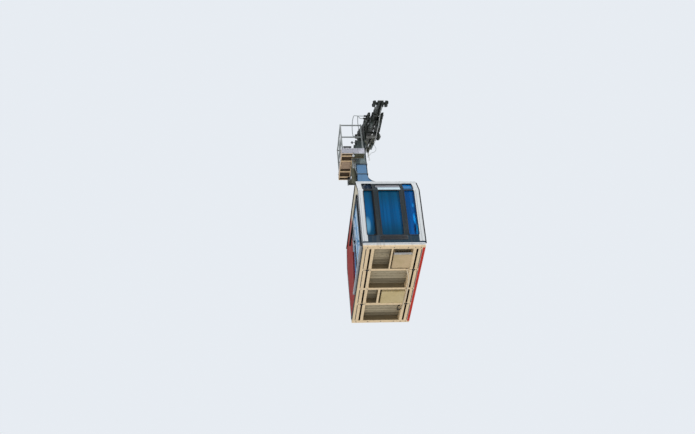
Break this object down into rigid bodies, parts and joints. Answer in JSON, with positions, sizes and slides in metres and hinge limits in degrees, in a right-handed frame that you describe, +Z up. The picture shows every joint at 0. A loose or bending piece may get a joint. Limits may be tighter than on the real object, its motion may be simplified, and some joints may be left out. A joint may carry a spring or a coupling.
{
  "type": "cable car cabin with hanger and rope carriage",
  "caption": "Aerial tramway cabin with glazed ends and a sliding side door, on an offset hanger with a service platform, under a many-wheeled rope carriage.",
  "frame": {"origin": "on the centre line of the track rope, straight above the hanger's pivot", "axes": "+X to the right across the rope, +Y level in the uphill direction, +Z up; the rope rises towards +Y at 20 degrees"},
  "size_m": [2.22, 8.4399, 9.1129],
  "materials": {
    "white_paint": "satin coach paint",
    "red_paint": "satin coach paint",
    "hanger_blue": "satin paint",
    "carriage_green": "weathered paint",
    "frame_cream": "satin paint",
    "deck_brown": "weathered paint",
    "tray_tan": "weathered paint",
    "platform_grey": "galvanised and painted",
    "platform_tan": "weathered paint",
    "door_frame": "brushed",
    "steel": "worn",
    "rubber": "matt",
    "glass_blue": "blue tinted"
  },
  "bodies": {
    "carriage": {"carriage_beam_left": "carriage_green", "carriage_beam_right": "carriage_green", "frame_ties": "carriage_green", "pivot_axle": "steel", "rope_guide": "carriage_green", "tow_bar": "carriage_green", "carriage_brakes": "carriage_green", "hydraulic_unit": "carriage_green", "hose_couplings": "rubber", "hoses": "rubber", "truck_beam_left": "carriage_green", "truck_beam_right": "carriage_green", "truck_ties": "carriage_green"},
    "cabin": {"floor_frame": "frame_cream", "floor_deck": "deck_brown", "under_trays": "tray_tan", "end_wall_near": "white_paint", "end_wall_far": "white_paint", "end_glass_near": "glass_blue", "end_glass_far": "glass_blue", "side_wall_left": "white_paint", "side_wall_right": "white_paint", "side_glass_left": "glass_blue", "side_glass_right": "glass_blue", "door_track": "door_frame", "door_guide": "door_frame", "roof": "white_paint", "roof_beams": "frame_cream", "dampers": "rubber", "hanger": "hanger_blue", "hanger_head": "carriage_green", "hanger_winch": "carriage_green", "hanger_rungs": "steel", "cabin_handrails": "steel", "platform_frame": "platform_grey", "platform_deck": "platform_tan", "platform_rails": "platform_grey"},
    "door": {"door_leaf": "door_frame", "door_glass": "glass_blue", "door_lock": "steel"},
    "equaliser_near": {"equaliser_near": "carriage_green"},
    "equaliser_far": {"equaliser_far": "carriage_green"},
    "rocker_1": {"rocker_1": "carriage_green"},
    "rocker_2": {"rocker_2": "carriage_green"},
    "rocker_3": {"rocker_3": "carriage_green"},
    "rocker_4": {"rocker_4": "carriage_green"},
    "wheel_1": {"wheel_1": "steel"},
    "wheel_2": {"wheel_2": "steel"},
    "wheel_3": {"wheel_3": "steel"},
    "wheel_4": {"wheel_4": "steel"},
    "wheel_5": {"wheel_5": "steel"},
    "wheel_6": {"wheel_6": "steel"},
    "wheel_7": {"wheel_7": "steel"},
    "wheel_8": {"wheel_8": "steel"},
    "truck_wheel_1": {"truck_wheel_1": "steel"},
    "truck_wheel_2": {"truck_wheel_2": "steel"},
    "truck_wheel_3": {"truck_wheel_3": "steel"},
    "truck_wheel_4": {"truck_wheel_4": "steel"}
  },
  "joints": [
    {"name": "cabin_swing", "type": "hinge", "parent": "carriage", "child": "cabin", "pos_m": [0, 0, -0.17], "axis": [1, 0, 0], "range_deg": [-30, 30]},
    {"name": "door_slide", "type": "slide", "parent": "cabin", "child": "door", "axis": [0, 1, 0], "range_m": [0, 1.28]},
    {"name": "equaliser_near_tilt", "type": "hinge", "parent": "carriage", "child": "equaliser_near", "pos_m": [0, -0.95577, -0.17547], "axis": [1, 0, 0], "range_deg": [-5, 5]},
    {"name": "equaliser_far_tilt", "type": "hinge", "parent": "carriage", "child": "equaliser_far", "pos_m": [0, 0.73568, 0.44016], "axis": [1, 0, 0], "range_deg": [-5, 5]},
    {"name": "rocker_1_tilt", "type": "hinge", "parent": "equaliser_near", "child": "rocker_1", "pos_m": [0, -1.37863, -0.32938], "axis": [1, 0, 0], "range_deg": [-5, 5]},
    {"name": "rocker_2_tilt", "type": "hinge", "parent": "equaliser_near", "child": "rocker_2", "pos_m": [0, -0.53291, -0.02157], "axis": [1, 0, 0], "range_deg": [-5, 5]},
    {"name": "rocker_3_tilt", "type": "hinge", "parent": "equaliser_far", "child": "rocker_3", "pos_m": [0, 0.31282, 0.28625], "axis": [1, 0, 0], "range_deg": [-5, 5]},
    {"name": "rocker_4_tilt", "type": "hinge", "parent": "equaliser_far", "child": "rocker_4", "pos_m": [0, 1.15854, 0.59407], "axis": [1, 0, 0], "range_deg": [-5, 5]},
    {"name": "wheel_1_spin", "type": "hinge", "parent": "rocker_1", "child": "wheel_1", "pos_m": [0, -1.59006, -0.40634], "axis": [1, 0, 0], "continuous": true},
    {"name": "wheel_2_spin", "type": "hinge", "parent": "rocker_1", "child": "wheel_2", "pos_m": [0, -1.1672, -0.25243], "axis": [1, 0, 0], "continuous": true},
    {"name": "wheel_3_spin", "type": "hinge", "parent": "rocker_2", "child": "wheel_3", "pos_m": [0, -0.74434, -0.09852], "axis": [1, 0, 0], "continuous": true},
    {"name": "wheel_4_spin", "type": "hinge", "parent": "rocker_2", "child": "wheel_4", "pos_m": [0, -0.32148, 0.05539], "axis": [1, 0, 0], "continuous": true},
    {"name": "wheel_5_spin", "type": "hinge", "parent": "rocker_3", "child": "wheel_5", "pos_m": [0, 0.10139, 0.2093], "axis": [1, 0, 0], "continuous": true},
    {"name": "wheel_6_spin", "type": "hinge", "parent": "rocker_3", "child": "wheel_6", "pos_m": [0, 0.52425, 0.36321], "axis": [1, 0, 0], "continuous": true},
    {"name": "wheel_7_spin", "type": "hinge", "parent": "rocker_4", "child": "wheel_7", "pos_m": [0, 0.94711, 0.51712], "axis": [1, 0, 0], "continuous": true},
    {"name": "wheel_8_spin", "type": "hinge", "parent": "rocker_4", "child": "wheel_8", "pos_m": [0, 1.36997, 0.67103], "axis": [1, 0, 0], "continuous": true},
    {"name": "truck_wheel_1_spin", "type": "hinge", "parent": "carriage", "child": "truck_wheel_1", "pos_m": [0, 3.91184, 1.59619], "axis": [1, 0, 0], "continuous": true},
    {"name": "truck_wheel_2_spin", "type": "hinge", "parent": "carriage", "child": "truck_wheel_2", "pos_m": [0, 4.36289, 1.76036], "axis": [1, 0, 0], "continuous": true},
    {"name": "truck_wheel_3_spin", "type": "hinge", "parent": "carriage", "child": "truck_wheel_3", "pos_m": [0, 4.81395, 1.92453], "axis": [1, 0, 0], "continuous": true},
    {"name": "truck_wheel_4_spin", "type": "hinge", "parent": "carriage", "child": "truck_wheel_4", "pos_m": [0, 5.265, 2.0887], "axis": [1, 0, 0], "continuous": true}
  ]
}
